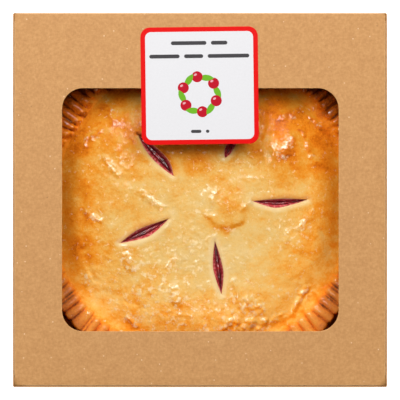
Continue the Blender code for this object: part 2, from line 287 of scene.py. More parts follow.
def triangulated(outer, holes, inner_points):
    """Triangles between an outer loop and holes, through inner points. Points come in that order."""
    loops = [outer, *holes]
    points = np.concatenate([*loops, inner_points])
    edges = []
    start = 0
    for loop in loops:
        count = len(loop)
        edges += [(start + i, start + (i + 1) % count) for i in range(count)]
        start += count
    made = delaunay_2d_cdt([Vector(p) for p in points], edges, [], 0, 1e-5)
    if len(made[0]) != len(points):
        raise ValueError("two of the points to triangulate lie in one place")
    triangles = np.array(made[2])
    middles = points[triangles].mean(axis=1)
    keep = distance_to(outer, middles) < 0
    for hole in holes:
        keep &= distance_to(hole, middles) > 0
    return points, triangles[keep]


def hexagonal(radius, spacing):
    """An even spread of points in a disc."""
    rows = np.arange(-radius, radius, spacing * math.sqrt(3) / 2)
    columns = np.arange(-radius, radius, spacing)
    x, y = np.meshgrid(columns, rows)
    x = x + spacing / 2 * (np.arange(len(rows)) % 2)[:, None]
    points = np.column_stack((x.ravel(), y.ravel()))
    return points[np.hypot(*points.T) < radius]


class Shell:
    """A closed surface put together from patches and rings of points, with values at its points."""

    def __init__(self, *values):
        self.points = []
        self.faces = []
        self.values = {name: [] for name in values}
        self.count = 0

    def add(self, points, **values):
        """Adds points, and returns their numbers."""
        self.points.append(np.asarray(points, float))
        for name, kept in self.values.items():
            kept.append(np.broadcast_to(values.get(name, 0.0), len(points)))
        self.count += len(points)
        return np.arange(self.count - len(points), self.count)

    def patch(self, numbers, triangles, facing_up=True):
        triangles = triangles if facing_up else triangles[:, ::-1]
        self.faces += numbers[triangles].tolist()

    def join(self, a, b):
        """Faces between two rings. The smaller one has a whole share of the larger one's points."""
        if len(a) < len(b):
            share = len(b) // len(a)
            for i, corner in enumerate(a):
                after = a[(i + 1) % len(a)]
                fan = [b[(share * i + k) % len(b)] for k in range(share + 1)]
                for k in range(share // 2):
                    self.faces.append((corner, fan[k + 1], fan[k]))
                self.faces.append((corner, after, fan[share // 2]))
                for k in range(share // 2, share):
                    self.faces.append((after, fan[k + 1], fan[k]))
        elif len(a) > len(b):
            first = len(self.faces)
            self.join(b, a)
            self.faces[first:] = [face[::-1] for face in self.faces[first:]]
        else:
            for i in range(len(a)):
                j = (i + 1) % len(a)
                self.faces.append((a[i], a[j], b[j], b[i]))

    def close(self, ring, height, **values):
        """A fan from a ring to a point at its middle."""
        middle = np.concatenate(self.points)[ring].mean(axis=0)
        middle[2] = height
        apex = self.add([middle], **values)[0]
        for i, number in enumerate(ring):
            self.faces.append((number, ring[(i + 1) % len(ring)], apex))

    def object(self, name, node, slot, materials, shift=(0, 0, 0)):
        """Makes the piece that stands for a CAD node."""
        mesh = bpy.data.meshes.new(name)
        points = (np.concatenate(self.points) + np.array(shift)) * MM
        mesh.from_pydata(points.tolist(), [], [tuple(int(n) for n in face) for face in self.faces])
        bm = bmesh.new()
        bm.from_mesh(mesh)
        bmesh.ops.recalc_face_normals(bm, faces=bm.faces[:])
        bm.to_mesh(mesh)
        bm.free()
        for value, kept in self.values.items():
            mesh.attributes.new(value, "FLOAT", "POINT").data.foreach_set(
                "value", np.concatenate(kept).astype(np.float32)
            )
        mesh.shade_smooth()
        return as_piece(bpy.data.objects.new(name, mesh), node, materials)


def as_piece(made, node, materials):
    """Puts an object in the scene as the piece that stands for a CAD node."""
    if made.name not in bpy.context.scene.collection.objects:
        bpy.context.scene.collection.objects.link(made)
    for material in materials:
        made.data.materials.append(material)
    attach(made, "root")
    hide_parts(node)
    return made


# Finishes


def colour(red, green, blue):
    """A colour from its values of 0 to 255 on a screen."""
    return (*(((c / 255 + 0.055) / 1.055) ** 2.4 if c > 10 else c / 3294 for c in (red, green, blue)), 1)


class Finish:
    """A material round one Principled shader, and short ways to make its nodes."""

    def __init__(self, name, **settings):
        self.material = bpy.data.materials.new(name)
        self.material.use_nodes = True
        self.tree = self.material.node_tree
        self.shader = self.tree.nodes["Principled BSDF"]
        for socket, value in settings.items():
            self.shader.inputs[socket.replace("_", " ")].default_value = value
        self.place = self.node("ShaderNodeTexCoord").outputs["Object"]

    def node(self, kind, inputs=(), **settings):
        made = self.tree.nodes.new(kind)
        for setting, value in settings.items():
            setattr(made, setting, value)
        for socket, value in dict(inputs).items():
            if isinstance(value, bpy.types.NodeSocket):
                self.tree.links.new(value, made.inputs[socket])
            else:
                made.inputs[socket].default_value = value
        return made

    def set(self, socket, value):
        self.tree.links.new(value, self.shader.inputs[socket])

    def noise(self, size, detail=2.0, stretch=None, turn=0.0, rough=0.5):
        """Noise of 0 to 1 with lumps of this size, stretched along an axis if asked."""
        place = self.place
        if stretch is not None:
            place = self.node(
                "ShaderNodeMapping",
                {"Vector": place, "Rotation": (0, 0, turn), "Scale": stretch},
            ).outputs["Vector"]
        return self.node(
            "ShaderNodeTexNoise",
            {"Vector": place, "Scale": 1 / (size * MM), "Detail": detail, "Roughness": rough},
        ).outputs["Fac"]

    def attribute(self, name):
        return self.node("ShaderNodeAttribute", attribute_name=name).outputs["Fac"]

    def math(self, operation, a, b=0.0, c=0.0):
        return self.node("ShaderNodeMath", {0: a, 1: b, 2: c}, operation=operation).outputs[0]

    def span(self, value, low, high, to_low=0.0, to_high=1.0):
        """value as it goes from low to high, brought to another span and held there."""
        return self.node(
            "ShaderNodeMapRange",
            {"Value": value, "From Min": low, "From Max": high, "To Min": to_low, "To Max": to_high},
        ).outputs["Result"]

    def ramp(self, value, *stops):
        """A colour for each value, through stops of (value, colour)."""
        made = self.node("ShaderNodeValToRGB", {"Fac": value})
        elements = made.color_ramp.elements
        while len(elements) < len(stops):
            elements.new(0.5)
        for element, (position, shade) in zip(elements, stops):
            element.position = position
            element.color = shade
        return made.outputs["Color"]

    def mix(self, share, a, b, blend="MIX"):
        made = self.node("ShaderNodeMix", data_type="RGBA", blend_type=blend)
        for socket, value in ((0, share), (6, a), (7, b)):
            if isinstance(value, bpy.types.NodeSocket):
                self.tree.links.new(value, made.inputs[socket])
            else:
                made.inputs[socket].default_value = value
        return made.outputs[2]

    def bump(self, height, depth, strength=1.0):
        """Relief of this depth in millimetres."""
        made = self.node(
            "ShaderNodeBump", {"Height": height, "Distance": depth * MM, "Strength": strength}
        )
        self.set("Normal", made.outputs["Normal"])


def crust_finish():
    finish = Finish("baked_crust", Specular_IOR_Level=0.04, Coat_Roughness=0.14, Coat_IOR=1.75)
    mottle = finish.math("MULTIPLY_ADD", finish.noise(7, 4, rough=0.6), 0.82, -0.41)
    fine = finish.math("MULTIPLY_ADD", finish.noise(1.3, 3, rough=0.7), 0.5, -0.25)
    # the browning attribute holds painted shade as well as the crust's own browning
    browning = finish.math("ADD", finish.math("ADD", finish.attribute("browning"), mottle), fine)
    baked = finish.ramp(
        finish.math("MULTIPLY", browning, 1 / 1.3),
        (0.0, colour(248, 206, 134)),
        (0.2, colour(249, 198, 114)),
        (0.38, colour(251, 182, 84)),
        (0.54, colour(249, 157, 44)),
        (0.66, colour(246, 138, 26)),
        (0.8, colour(222, 108, 14)),
        (1.0, colour(112, 46, 8)),
    )
    # a tint that lowers red over the middle, with painted shade darkening the window's left edge, and less of it in
    # the label's shadow as painted light
    calmed = finish.mix(finish.attribute("calm"), (1, 1, 1, 1), (0.795, 0.84, 0.895, 1))
    baked = finish.mix(1.0, baked, calmed, "MULTIPLY")
    # pale pinkish-white flecks where the flaky glaze gathers: partly the pastry's own pale flakes, partly painted
    # glints of the glaze
    flakes = finish.math("MULTIPLY_ADD", finish.attribute("flaky"), 0.1, finish.noise(3.0, 5, rough=0.65))
    flakes = finish.span(flakes, 0.62, 0.74)
    # painted glints: the flecks' colour is mixed into the crust's own colour
    flaked = finish.mix(finish.math("MULTIPLY", flakes, 0.55), baked, colour(255, 232, 184))
    # the cut mask is partly cut pastry and partly painted light: paler slit sides that face the lamps, and painted
    # sheen on the front rim's ridge crests
    cut = finish.mix(finish.attribute("cut"), flaked, colour(232, 203, 150))
    juice = finish.ramp(
        finish.noise(1.3, 3), (0.32, colour(150, 30, 38)), (0.5, colour(208, 72, 78)), (0.7, colour(236, 146, 142))
    )
    # painted shade in the slits: the juice darkens on walls facing away from the lamps and further down
    juice = finish.mix(finish.attribute("deep"), juice, colour(84, 12, 20))
    stained = finish.mix(finish.attribute("stain"), cut, juice)
    finish.set("Base Color", stained)
    patches = finish.noise(6, 3)
    finish.set("Roughness", finish.span(patches, 0.38, 0.62, 0.55, 0.3))
    broken = finish.span(finish.noise(1.5, 2), 0.36, 0.64, 0.35, 1.3)
    glaze = finish.math("MULTIPLY", finish.attribute("glaze"), broken)
    glaze = finish.math("ADD", glaze, finish.span(patches, 0.45, 0.66, 0.0, 0.12))
    glaze = finish.math("MULTIPLY_ADD", flakes, 0.4, glaze)
    finish.set("Coat Weight", finish.math("MINIMUM", glaze, 1.0))
    grain = finish.math("MULTIPLY_ADD", finish.noise(0.8, 2), 0.4, finish.noise(2.0, 3, rough=0.6))
    grain = finish.math("MULTIPLY_ADD", flakes, 0.3, grain)
    finish.bump(grain, 0.3)
    return finish.material


def filling_finish():
    finish = Finish("cherry_filling", Roughness=0.35, Specular_IOR_Level=0.3, Coat_Weight=0.9, Coat_Roughness=0.06)
    depth = finish.noise(3.5, 3)
    finish.set(
        "Base Color",
        finish.ramp(depth, (0.3, colour(64, 8, 12)), (0.55, colour(116, 18, 25)), (0.8, colour(180, 44, 52))),
    )
    finish.bump(finish.noise(1.1, 2), 0.5)
    return finish.material


def foil_finish():
    finish = Finish("pressed_foil", Metallic=1.0, Roughness=0.3)
    finish.set("Base Color", finish.ramp(finish.noise(4, 3), (0.3, colour(196, 197, 200)), (0.7, colour(226, 226, 228))))
    finish.set("Roughness", finish.span(finish.noise(2, 3), 0.3, 0.7, 0.22, 0.38))
    finish.bump(finish.noise(1.6, 3), 0.12)
    return finish.material


def kraft_finish(name, lightness=1.0):
    """Brown board with fine fibres, pale flecks and a few dark ones."""
    finish = Finish(name, Roughness=0.62, IOR=1.4)
    along = finish.noise(0.5, 2, stretch=(1, 0.22, 1), turn=0.6)
    across = finish.noise(0.5, 2, stretch=(0.22, 1, 1), turn=0.35)
    cloudy = finish.math("ADD", finish.noise(1.6, 3), finish.math("MULTIPLY", finish.noise(7, 2), 0.35))
    tone = finish.math("ADD", finish.math("MULTIPLY", finish.math("ADD", along, across), 0.45), cloudy)
    board = finish.ramp(
        finish.span(tone, 0.72, 1.53),
        (0.0, colour(188 * lightness, 132 * lightness, 74 * lightness)),
        (0.5, colour(204 * lightness, 148 * lightness, 87 * lightness)),
        (1.0, colour(219 * lightness, 164 * lightness, 102 * lightness)),
    )
    for size, reach, shade, seed in ((6.5, 0.045, colour(232, 200, 160), 0.0), (16, 0.014, colour(110, 74, 44), 9.0)):
        place = finish.node("ShaderNodeMapping", {"Vector": finish.place, "Location": (seed, seed, 0)})
        cells = finish.node(
            "ShaderNodeTexVoronoi", {"Vector": place.outputs["Vector"], "Scale": 1 / (size * MM)}
        )
        fleck = finish.span(cells.outputs["Distance"], reach, 1.6 * reach, 0.7, 0.0)
        board = finish.mix(fleck, board, shade)
    creased = finish.mix(
        finish.math("MULTIPLY", finish.attribute("crease"), 0.35), board, colour(228, 188, 140)
    )
    finish.set("Base Color", creased)
    finish.bump(finish.math("ADD", along, across), 0.05)
    return finish.material


def film_finish():
    """Clear film: light goes straight through, apart from a faint gloss."""
    finish = Finish("clear_film")
    tree = finish.tree
    clear = finish.node("ShaderNodeBsdfTransparent", {"Color": (0.985, 0.985, 0.985, 1)})
    gloss = finish.node("ShaderNodeBsdfGlossy", {"Roughness": 0.06})
    grazing = finish.node("ShaderNodeLayerWeight", {"Blend": 0.5}).outputs["Facing"]
    share = finish.math("MULTIPLY_ADD", finish.math("POWER", grazing, 4.0), 0.4, 0.0006)
    both = finish.node("ShaderNodeMixShader")
    tree.links.new(share, both.inputs[0])
    tree.links.new(clear.outputs[0], both.inputs[1])
    tree.links.new(gloss.outputs[0], both.inputs[2])
    tree.nodes.remove(finish.shader)
    tree.links.new(both.outputs[0], tree.nodes["Material Output"].inputs["Surface"])
    return finish.material


def print_finish(name, shade):
    """Ink on glossy label paper."""
    finish = Finish(name, Roughness=0.2, Specular_IOR_Level=0.1)
    tint = finish.ramp(finish.noise(1.2, 2), (0.3, shade), (0.7, tuple(min(1, 1.03 * c) for c in shade)))
    finish.set("Base Color", tint)
    finish.bump(finish.noise(0.6, 2), 0.01)
    return finish.material


# The crust


def slit_loop(slit, grow=0.0):
    """The outline of a slit, moved outwards by grow, or inwards where that is negative."""
    (x, y), heading, length, left, right, blunt = slit
    half = SLIT_POINTS // 2
    around = np.pi * np.arange(half) / half
    shrink = 1 + min(grow, 0) / ((left[0] + right[0]) / 2)
    sides = []
    for side, (width, widest) in ((1, left), (-1, right)):
        along = side * np.cos(around)
        beyond = np.where(along > widest, 1 - widest, 1 + widest)
        bulge = 1 - np.abs((along - widest) / beyond) ** blunt
        across = side * (width * bulge * shrink + max(grow, 0) * np.sin(around))
        sides.append(np.column_stack((along * (length / 2 + 1.2 * grow), across)))
    points = np.concatenate(sides)
    points[:, 1] += (1 - shrink) * (left[0] - right[0]) / 2 * (1 - (2 * points[:, 0] / length) ** 2)
    turn = math.radians(heading)
    spin = np.array(((math.cos(turn), math.sin(turn)), (-math.sin(turn), math.cos(turn))))
    return points @ spin + np.array((x, y))


def fork_marks():
    """The turn of each fork mark off its even place, and the depth of each of its grooves."""
    rng = np.random.default_rng(7)
    turns = rng.uniform(-MARK_TURN, MARK_TURN, FORK_MARKS)
    depths = rng.uniform(0.6, 1.2, FORK_MARKS * TINES).reshape(FORK_MARKS, TINES)
    return turns, depths


def ridges_of_rim(radius, angle):
    """Height from 0 to about 1 of the ridges that the fork left between its grooves, and how much painted shade
    darkens the grooves in thin lines.
    """
    turns, depths = fork_marks()
    width = 2 * math.pi / FORK_MARKS
    here = np.floor(angle / width).astype(int)
    before = np.full_like(radius, -20.0)
    after = np.full_like(radius, 20.0)
    depth_before = np.ones_like(radius)
    depth_after = np.ones_like(radius)
    for step in (-1, 0, 1):
        mark = (here + step) % FORK_MARKS
        off = angle - (here + step + 0.5) * width - turns[mark]
        for tine in range(TINES):
            place = TINE_PITCH * (tine - (TINES - 1) / 2) + 1.3 * (depths[mark, tine] - 0.9)
            aside = place - radius * np.sin(off)
            nearer = (aside <= 0) & (aside > before)
            before = np.where(nearer, aside, before)
            depth_before = np.where(nearer, depths[mark, tine], depth_before)
            nearer = (aside > 0) & (aside < after)
            after = np.where(nearer, aside, after)
            depth_after = np.where(nearer, depths[mark, tine], depth_after)
    gap = after - before
    depth = np.where(after < -before, depth_after, depth_before)
    from_crest = 1 - 2 * np.minimum(after, -before) / gap
    rounded = 1 - depth * (0.6 * from_crest**2 + 0.4 * from_crest**6)
    # in the deeper grooves stands a thin ridge, with a line of painted shade on either side of it
    aside = np.minimum(after, -before)
    double = smoothstep(1.0, 1.1, depth)
    rounded += 0.5 * double * np.exp(-((aside / 0.6) ** 2))
    lines = np.exp(-(((aside - 0.95 * double) / 0.6) ** 2))
    start = RIDGE_START + 1.2 * field(30 * np.cos(angle), 30 * np.sin(angle), 9, 13, 1)
    start -= 5 * np.exp(-(((angle - math.radians(147)) / 0.2) ** 2))
    risen = smoothstep(0, 3.4, radius - start - 1.6 * from_crest**2)
    return risen * rounded, risen * lines


def crust_form(x, y):
    """Height of the baked top without its fine relief: dome, swellings and the rim's valley."""
    radius = np.hypot(x, y)
    share = radius / DOME_RADIUS
    dome = DOME_RISE * (1 - share**SHOULDER_POWER)
    lumps = np.zeros_like(x)
    for (cx, cy), reach, height in SWELLINGS:
        lumps += height * np.exp(-1.5 * ((x - cx) ** 2 + (y - cy) ** 2) / reach**2)
    dome += (1 - np.minimum(share, 1) ** 5) * lumps
    # the dome runs out smoothly into the flat of the rim, which sits higher at the front
    raised = FRONT_RISE * np.exp(-(((y + 84) / 30) ** 2) - (x / 62) ** 4)
    dome += raised
    flat = raised + 0.2 - 0.6 * smoothstep(DOME_RADIUS + 8, CRUST_RADIUS, radius)
    blend = np.clip(1 - np.abs(dome - flat) / 3, 0, 1)
    return RIM_LEVEL + np.maximum(dome, flat) + 0.75 * blend**2


def creased(x, y):
    """Height of the larger folds and blisters, of uneven outline."""
    relief = np.zeros_like(x)
    patchy = np.clip(0.9 + 0.4 * field(y, x, 3.0, 18), 0.5, 1.3)
    x = x + 1.3 * field(x, y, 3.6, 15) + 0.8 * field(x, y, 8, 16)
    y = y + 1.3 * field(y, x, 3.6, 17) + 0.8 * field(y, x, 8, 18)
    for start, end, wide, height in FOLDS:
        (ax, ay), (bx, by) = start, end
        near = np.flatnonzero(np.hypot(x - (ax + bx) / 2, y - (ay + by) / 2) < 16)
        off_x, off_y = x[near] - ax, y[near] - ay
        step = np.array((bx - ax, by - ay))
        share = np.clip((off_x * step[0] + off_y * step[1]) / (step @ step), 0, 1)
        away = np.hypot(off_x - share * step[0], off_y - share * step[1]) / (1.3 * wide)
        height = height * (1 + 0.3 * smoothstep(10, -40, ay))
        relief[near] = np.maximum(relief[near], height * patchy[near] * np.exp(-(away**2)))
    return relief


def gathered(x, y):
    """How much of the flaky, blistered glaze there is, from 0 to 1."""
    share = 0.16 + 0.3 * field(x, y, 10, 3)
    for (cx, cy), spread, amount in CRINKLED:
        share += amount * np.exp(-((x - cx) ** 2 + (y - cy) ** 2) / spread**2)
    return np.clip(share, 0, 1)


def crinkled(x, y):
    """Height of the blisters and thin creases, which gather in some places."""
    bent_x = x + 1.3 * field(x, y, 3.6, 24)
    bent_y = y + 1.3 * field(y, x, 3.6, 25)
    blisters = smoothstep(0.05, 0.45, field(bent_x, bent_y, 3.4, 5))
    thin = ridges(bent_y, bent_x, 5.5, 8) * smoothstep(-0.1, 0.3, field(x, y, 4, 26))
    return gathered(x, y) * (0.2 * blisters + 0.16 * thin * (1 - blisters))


def flake(x, y):
    """Distance in radii from the flake by the middle, and a share that grows towards its front."""
    off_x, off_y = (x - 14) / 12, (y + 5) / 10.5
    away = np.hypot(off_x, off_y) + 0.3 * field(x, y, 8, 14, 2)
    return away, smoothstep(0.2, -0.7, off_y)


def crust_relief(x, y):
    """Lumps, creases, wrinkles and small blisters on the baked top."""
    radius = np.hypot(x, y)
    onto_rim = 1 - 0.6 * smoothstep(DOME_RADIUS - 4, DOME_RADIUS + 6, radius)
    relief = 0.38 * field(x, y, 16, 1) + 0.17 * field(x, y, 7, 2)
    warped = np.column_stack((x + 2 * field(x, y, 9, 19), y + 2 * field(y, x, 9, 20)))
    for start, end, reach, depth in CREASES:
        start, end = np.array(start), np.array(end)
        offset = warped - start
        step = end - start
        share = np.clip(offset @ step / (step @ step), 0, 1)
        away = np.hypot(*(offset - share[:, None] * step).T)
        relief -= depth * np.exp(-((away / reach) ** 2))
    away, front = flake(x, y)
    relief += 0.8 * smoothstep(1.14, 0.84, away) * front
    folds = creased(x, y)
    relief += folds + crinkled(x, y) * (1 - np.minimum(1.5 * folds, 0.75))
    relief += 0.05 * field(x, y, 1.6, 9)
    return onto_rim * relief


def browning(x, y, relief):
    """How brown the crust is, from pale at 0 to dark at 1, with painted shade added as more browning: the lid's
    shadow at the back, the shade at the window's left and right edges, a shadow under the flake's front edge and the
    label's shadow.
    """
    radius = np.hypot(x, y)
    brown = 0.34 + 0.2 * smoothstep(34, 80, radius) + 0.24 * smoothstep(86, 95, radius)
    # painted shadow: browner from y 62 to 67, under the lid's back edge; painted shade: browner towards the window's
    # left and right edges
    brown += 0.14 * smoothstep(10, 60, y) + 0.4 * smoothstep(62, 67, y) + 0.14 * smoothstep(56, 76, np.abs(x))
    brown += 0.07 * smoothstep(-48, -62, y) * smoothstep(62, 40, np.abs(x))
    # painted shadow: a browner band along the flake's front edge, where its step falls into shade
    away, front = flake(x, y)
    brown += 0.2 * front * np.exp(-(((away - 1.05) / 0.16) ** 2))
    for (cx, cy), reach, amount in BROWNED:
        brown += amount * np.exp(-1.5 * ((x - cx) ** 2 + (y - cy) ** 2) / reach**2)
    brown += 0.18 * field(x, y, 18, 11) + 0.1 * np.clip(relief, -0.6, 0.8)
    return brown


def shade_of(made):
    """Paints shade as browning on the slopes of the top's relief that face the front, away from the lamps, and paints
    light by paling those that face the back.
    """
    mesh = made.data
    count = len(mesh.vertices)
    places, normals = np.empty(3 * count), np.empty(3 * count)
    mesh.vertices.foreach_get("co", places)
    mesh.vertices.foreach_get("normal", normals)
    x, y, z = places.reshape(-1, 3).T / MM - np.array((PIE.x, PIE.y, 0))[:, None]
    _, facing, upward = normals.reshape(-1, 3).T
    rise = -facing / np.maximum(upward, 0.3)
    form = crust_form(x, y + 0.5) - crust_form(x, y - 0.5)
    on_top = (upward > 0.3) & (z > crust_form(x, y) - 1.5) & (np.hypot(x, y) < DOME_RADIUS + 4)
    brown = np.empty(count, np.float32)
    attribute = mesh.attributes["browning"].data
    attribute.foreach_get("value", brown)
    # painted shade and light: browner where the relief faces the front, paler where it faces the back
    brown += np.where(on_top, SHADE_BROWNING * np.clip(rise - form, -0.2, 0.25), 0).astype(np.float32)
    attribute.foreach_set("value", brown)


def lips(points):
    """Distance of each point from the nearest slit."""
    nearest = np.full(len(points), 1000.0)
    for slit in SLITS:
        middle, length = np.array(slit[0]), slit[2]
        close = np.hypot(*(points - middle).T) < 0.5 * length + 2 * LIP_WIDTH
        nearest[close] = np.minimum(nearest[close], distance_to(slit_loop(slit), points[close]))
    return nearest


def facing_light(points):
    """How much the nearest slit's side there faces the light, from 0 to 1."""
    return smoothstep(0.3, -0.5, lips(points + (0.14, 0.38)) - lips(points - (0.14, 0.38)))


def make_crust():
    shell = Shell("browning", "cut", "stain", "glaze", "deep", "calm", "flaky")
    spacing = 0.66
    loops = [slit_loop(slit) for slit in SLITS]
    inner = hexagonal(DOME_RADIUS - 0.4 * spacing, spacing)
    away = lips(inner)
    rows = [slit_loop(slit, grow) for slit in SLITS for grow in (0.35, 0.8)]
    inner = np.concatenate([inner[away > 1.1], *rows])
    edge = circle(DOME_RADIUS, RIM_COLUMNS)
    points, triangles = triangulated(edge, loops, inner)

    x, y = points.T
    away = np.maximum(lips(points), 0)
    relief = crust_relief(x, y)
    roll = np.clip(1 - away / LIP_WIDTH, 0, 1) ** 2
    height = crust_form(x, y) + relief * (1 - 0.8 * roll) - LIP_DROP * roll
    height += 0.15 * np.exp(-(((away - 2.6) / 1.4) ** 2))
    in_front = facing_light(points)
    # painted light and shade: beside a slit, the side that faces the lamps is paler and the other browner, and the
    # cut pastry's pale lip shows only on the lit side
    brown = browning(x, y, relief) - (0.24 * in_front - 0.1) * smoothstep(5, 1.5, away)
    pale = 0.85 * in_front * smoothstep(1.5, 0.3, away - 0.9 * field(x, y, 4, 10))
    raw = 0.2 * smoothstep(22, 8, y) + 0.35 * smoothstep(-14, -24, y)
    raw *= smoothstep(3.6, 1.4, away + 0.9 * field(x, y, 5, 28))
    # less of this paleness from y 16 to 27, where the label's shadow falls
    pale = np.maximum(pale, raw) * (1 - 0.6 * smoothstep(16, 27, y))
    glaze = np.clip(2.5 * (creased(x, y) + crinkled(x, y)), 0, 0.65) * (1 - 0.4 * smoothstep(35, 58, y))
    calm = smoothstep(95, 55, np.hypot(x + 5, y - 18))
    # painted shade: darker at the window's left edge
    calm = np.maximum(calm, 0.6 * smoothstep(-61, -69, x) * smoothstep(79, 70, np.hypot(x, y)))
    # painted light: less of the tint from y 28 to 33 backwards, under the label and to its right, so its shadow is
    # lighter and redder
    calm *= 1 - 0.9 * smoothstep(28, 33, y) * smoothstep(-38, -30, x) * smoothstep(54, 44, x)
    top = shell.add(
        np.column_stack((points, height)),
        browning=brown,
        cut=pale,
        glaze=glaze,
        calm=calm,
        flaky=gathered(x, y) + np.minimum(1.2 * creased(x, y), 0.6) - 0.5 * smoothstep(30, 55, y),
    )
    shell.patch(top, triangles)

    # the slits' walls, and the underside of the top crust
    bottoms = []
    start = len(edge)
    for slit in SLITS:
        ring = top[start : start + SLIT_POINTS]
        rim_height = height[start : start + SLIT_POINTS]
        start += SLIT_POINTS
        for inset, depth, stain in SLIT_WALL:
            loop = slit_loop(slit, -inset)
            sunk = depth * (1 + 0.35 * field(*loop.T, 1.8, 27))
            # painted shade: walls that face away from the lamps, and deeper steps, get darker juice
            deep = np.clip(0.5 * (1 - facing_light(loop)) + 0.12 * depth - 0.12, 0, 0.9)
            lower = shell.add(
                np.column_stack((loop, rim_height - sunk)), cut=1.0, stain=stain, deep=deep
            )
            shell.join(ring, lower)
            ring = lower
        bottoms.append((loop, ring))
    cavity = FILLING.size.x / 2
    under_edge = circle(cavity, 144)
    under_points = hexagonal(cavity - 2, 4)
    under_points = under_points[lips(under_points) > 2.5]
    points, triangles = triangulated(under_edge, [loop for loop, _ in bottoms], under_points)
    x, y = points.T
    under = np.column_stack((points, crust_form(x, y) - CRUST_THICKNESS))
    plain = np.r_[0 : len(under_edge), len(points) - len(under_points) : len(points)]
    numbers = np.concatenate([np.zeros(len(under_edge), int), *(ring for _, ring in bottoms), np.zeros(len(under_points), int)])
    numbers[plain] = shell.add(under[plain], cut=1.0)
    shell.patch(numbers, triangles, facing_up=False)
    cavity_ring = numbers[: len(under_edge)]
    floor = FILLING.low.z - 0.3
    for radius, level in ((cavity, RIM_LEVEL - 2), (72, floor + 2), (67, floor)):
        lower = shell.add(np.column_stack((circle(radius, 144), np.full(144, level))), cut=1.0)
        shell.join(cavity_ring, lower)
        cavity_ring = lower
    shell.close(cavity_ring, floor, cut=1.0)

    # the crimped rim, its edge, and the crust's outside in the pan
    angle = 2 * np.pi * np.arange(RIM_COLUMNS) / RIM_COLUMNS
    spoke = np.column_stack((np.cos(angle), np.sin(angle)))
    wander = 0.6 * field(60 * spoke[:, 0], 60 * spoke[:, 1], 14, 12)
    ridge, _ = ridges_of_rim(np.full(RIM_COLUMNS, CRUST_RADIUS - 1.0), angle)
    outline = CRUST_RADIUS - RIM_ROUNDING - 1.2 + wander + 1.1 * ridge
    for at, more in ((-45, 2.0), (-135, 1.0)):
        outline += more * np.exp(-((np.sin((angle - math.radians(at)) / 2) / 0.13) ** 2))
    ring = top[:RIM_COLUMNS]
    rings = 25
    for step in range(1, rings + 1):
        radius = DOME_RADIUS + (outline - DOME_RADIUS) * step / rings
        x, y = (radius[:, None] * spoke).T
        ridge, groove = ridges_of_rim(radius, angle)
        relief = crust_relief(x, y)
        level = crust_form(x, y) + relief + RIDGE_HEIGHT * ridge
        # painted shade: browner along the grooves' dark lines
        brown = browning(x, y, relief) + 0.32 * groove
        glaze = 0.7 * smoothstep(0.5, 0.9, ridge)
        # painted sheen: the crests of the ridges at the front are paler
        pale = 0.13 * ridge * smoothstep(-35, -55, y)
        lower = shell.add(np.column_stack((x, y, level)), browning=brown, glaze=glaze, cut=pale)
        shell.join(ring, lower)
        ring = lower
    for turn in np.radians((25, 50, 75, 95)):
        radius = outline + RIM_ROUNDING * math.sin(turn)
        x, y = (radius[:, None] * spoke).T
        drop = RIM_ROUNDING * (1 - math.cos(turn)) + 1.2 * (1 - math.cos(turn)) * ridge
        lower = shell.add(np.column_stack((x, y, level - drop)), browning=brown)
        shell.join(ring, lower)
        ring = lower
    under = PAN.high.z + 0.3
    base = PAN.low.z + 0.7
    for radius, level, count, shade in (
        (CRUST_RADIUS - 2.2, under + 0.2, 360, 0.8),
        (97, under, 180, 0.8),
        (89.5, under, 180, 0.8),
        (75.5, base + 3, 180, 0.8),
        (72, base, 90, 0.8),
    ):
        lower = shell.add(np.column_stack((circle(radius, count), np.full(count, level))), browning=shade)
        shell.join(ring, lower)
        ring = lower
    shell.close(ring, base, browning=0.8)
    made = shell.object("pie_crust_baked", "pie_crust", "baked_crust", [crust_finish()], (PIE.x, PIE.y, 0))
    shade_of(made)
    return made


# The filling


def filling_height(x, y):
    """Syrup and cherries below the crust, risen in the slits."""
    points = np.column_stack((x, y))
    level = crust_form(x, y) - CRUST_THICKNESS - 0.5
    risen = np.zeros(len(points))
    for slit in SLITS:
        risen = np.maximum(risen, smoothstep(0.1, -0.5, distance_to(slit_loop(slit, -1.9), points)))
    cherries = 0.35 * field(x, y, 5.5, 21, 1) + 0.3 * field(x, y, 1.2, 22)
    return level + risen * (1.2 + cherries)


def make_filling():
    shell = Shell()
    radius = FILLING.size.x / 2 - 1
    coarse = hexagonal(radius - 2, 2.4)
    fine = hexagonal(radius - 2, 0.5)
    coarse = coarse[lips(coarse) > 1.2]
    fine = fine[lips(fine) < 0.2]
    edge = circle(radius, 180)
    points, triangles = triangulated(edge, [], np.concatenate((coarse, fine)))
    x, y = points.T
    top = shell.add(np.column_stack((points, filling_height(x, y))))
    shell.patch(top, triangles)
    ring = top[: len(edge)]
    for reach, level in ((radius, RIM_LEVEL - 3), (70, FILLING.low.z + 2), (66, FILLING.low.z)):
        lower = shell.add(np.column_stack((circle(reach, 180), np.full(180, level))))
        shell.join(ring, lower)
        ring = lower
    shell.close(ring, FILLING.low.z)
    return shell.object(
        "cherry_filling_glossy", "cherry_filling", "filling", [filling_finish()], (PIE.x, PIE.y, 0)
    )


# The foil pan


